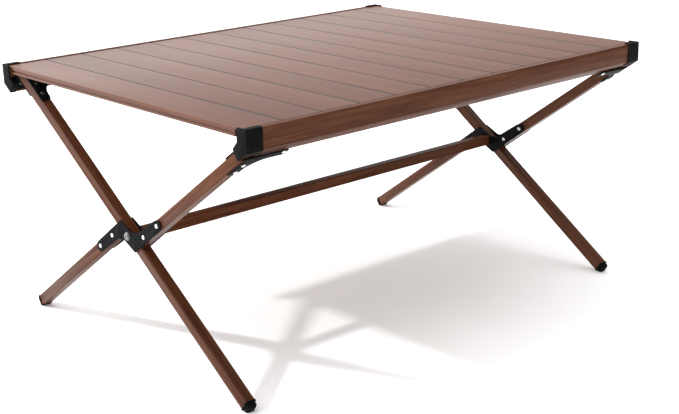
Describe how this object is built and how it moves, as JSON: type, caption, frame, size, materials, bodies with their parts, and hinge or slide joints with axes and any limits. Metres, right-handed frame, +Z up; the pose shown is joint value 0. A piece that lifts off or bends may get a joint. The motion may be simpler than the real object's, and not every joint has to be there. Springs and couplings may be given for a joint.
{
  "type": "folding side table",
  "caption": "Low folding camping table with a roll-up slatted top resting on two rails, carried by a scissor frame of square tubes with plate hubs and a crossbar.",
  "frame": {"origin": "on the floor, under the centre of the table", "axes": "+X along the rails, +Y from front to back, +Z up"},
  "size_m": [0.9, 0.6992, 0.4501],
  "materials": {
    "slat_finish": "satin wood-grain transfer on aluminium",
    "frame_finish": "satin wood-grain transfer on aluminium",
    "black_plastic": "fine texture",
    "black_plate": "matt powder coat",
    "rivet_metal": "bright",
    "bolt_steel": "zinc plated",
    "bush_nylon": "plain"
  },
  "bodies": {
    "crossbar_body": {"crossbar": "frame_finish", "crossbar_plug_left": "black_plastic", "crossbar_plug_right": "black_plastic", "pivot_bolts": "bolt_steel", "pivot_washers": "bolt_steel"},
    "front_frame": {"front_rail": "frame_finish", "front_cap_left": "black_plastic", "front_cap_right": "black_plastic", "front_outer_gusset_left": "black_plate", "front_outer_gusset_right": "black_plate", "front_inner_gusset_left": "black_plate", "front_inner_gusset_right": "black_plate", "upper_leg_left": "frame_finish", "upper_leg_right": "frame_finish", "lower_leg_left": "frame_finish", "lower_leg_right": "frame_finish", "outer_hub_plate_left": "black_plate", "outer_hub_plate_right": "black_plate", "inner_hub_plate_left": "black_plate", "inner_hub_plate_right": "black_plate", "rear_foot_left": "black_plastic", "rear_foot_right": "black_plastic", "front_rivets": "rivet_metal"},
    "rear_frame": {"rear_rail": "frame_finish", "rear_cap_left": "black_plastic", "rear_cap_right": "black_plastic", "rear_outer_gusset_left": "black_plate", "rear_outer_gusset_right": "black_plate", "rear_inner_gusset_left": "black_plate", "rear_inner_gusset_right": "black_plate", "crossing_leg_left": "frame_finish", "crossing_leg_right": "frame_finish", "front_foot_left": "black_plastic", "front_foot_right": "black_plastic", "leg_bushes": "bush_nylon", "rear_rivets": "rivet_metal"},
    "top_01": {"slat_01": "slat_finish", "slat_plugs_01": "black_plastic"},
    "top_02": {"slat_02": "slat_finish", "slat_plugs_02": "black_plastic"},
    "top_03": {"slat_03": "slat_finish", "slat_plugs_03": "black_plastic"},
    "top_04": {"slat_04": "slat_finish", "slat_plugs_04": "black_plastic"},
    "top_05": {"slat_05": "slat_finish", "slat_plugs_05": "black_plastic"},
    "top_06": {"slat_06": "slat_finish", "slat_plugs_06": "black_plastic"},
    "top_07": {"slat_07": "slat_finish", "slat_plugs_07": "black_plastic"},
    "top_08": {"slat_08": "slat_finish", "slat_plugs_08": "black_plastic"},
    "top_09": {"slat_09": "slat_finish", "slat_plugs_09": "black_plastic"},
    "top_10": {"slat_10": "slat_finish", "slat_plugs_10": "black_plastic"},
    "top_11": {"slat_11": "slat_finish", "slat_plugs_11": "black_plastic"},
    "top_12": {"slat_12": "slat_finish", "slat_plugs_12": "black_plastic"}
  },
  "joints": [
    {"name": "front_fold", "type": "hinge", "parent": "crossbar_body", "child": "front_frame", "pos_m": [0, -0.01, 0.213], "axis": [-1, 0, 0], "range_deg": [0, 52]},
    {"name": "rear_fold", "type": "hinge", "parent": "crossbar_body", "child": "rear_frame", "pos_m": [0, -0.01, 0.213], "axis": [1, 0, 0], "range_deg": [0, 52.5]},
    {"name": "top_lift", "type": "slide", "parent": "crossbar_body", "child": "top_01", "axis": [0, 0, 1], "range_m": [0, 0.7764]},
    {"name": "roll", "type": "hinge", "parent": "top_01", "child": "top_02", "pos_m": [-0.3725, 0, 0.448], "axis": [0, -1, 0], "range_deg": [0, 20.5]},
    {"name": "roll_02", "type": "hinge", "parent": "top_02", "child": "top_03", "pos_m": [-0.298, 0, 0.448], "axis": [0, -1, 0], "range_deg": [0, 23.65]},
    {"name": "roll_03", "type": "hinge", "parent": "top_03", "child": "top_04", "pos_m": [-0.2235, 0, 0.448], "axis": [0, -1, 0], "range_deg": [0, 26.89]},
    {"name": "roll_04", "type": "hinge", "parent": "top_04", "child": "top_05", "pos_m": [-0.149, 0, 0.448], "axis": [0, -1, 0], "range_deg": [0, 30.58]},
    {"name": "roll_05", "type": "hinge", "parent": "top_05", "child": "top_06", "pos_m": [-0.0745, 0, 0.448], "axis": [0, -1, 0], "range_deg": [0, 34.78]},
    {"name": "roll_06", "type": "hinge", "parent": "top_06", "child": "top_07", "pos_m": [0, 0, 0.448], "axis": [0, -1, 0], "range_deg": [0, 39.57]},
    {"name": "roll_07", "type": "hinge", "parent": "top_07", "child": "top_08", "pos_m": [0.0745, 0, 0.448], "axis": [0, -1, 0], "range_deg": [0, 45.02]},
    {"name": "roll_08", "type": "hinge", "parent": "top_08", "child": "top_09", "pos_m": [0.149, 0, 0.448], "axis": [0, -1, 0], "range_deg": [0, 51.23]},
    {"name": "roll_09", "type": "hinge", "parent": "top_09", "child": "top_10", "pos_m": [0.2235, 0, 0.448], "axis": [0, -1, 0], "range_deg": [0, 58.3]},
    {"name": "roll_10", "type": "hinge", "parent": "top_10", "child": "top_11", "pos_m": [0.298, 0, 0.448], "axis": [0, -1, 0], "range_deg": [0, 66.35]},
    {"name": "roll_11", "type": "hinge", "parent": "top_11", "child": "top_12", "pos_m": [0.3725, 0, 0.448], "axis": [0, -1, 0], "range_deg": [0, 75.52]}
  ],
  "couplings": [
    {"joint": "rear_fold", "follows": "front_fold", "ratio": 1},
    {"joint": "top_lift", "follows": "front_fold", "m_per_rad": 0.85},
    {"joint": "roll_02", "follows": "roll", "ratio": 1.1388},
    {"joint": "roll_03", "follows": "roll", "ratio": 1.2969},
    {"joint": "roll_04", "follows": "roll", "ratio": 1.477},
    {"joint": "roll_05", "follows": "roll", "ratio": 1.682},
    {"joint": "roll_06", "follows": "roll", "ratio": 1.9155},
    {"joint": "roll_07", "follows": "roll", "ratio": 2.1815},
    {"joint": "roll_08", "follows": "roll", "ratio": 2.4843},
    {"joint": "roll_09", "follows": "roll", "ratio": 2.8292},
    {"joint": "roll_10", "follows": "roll", "ratio": 3.222},
    {"joint": "roll_11", "follows": "roll", "ratio": 3.6693}
  ]
}
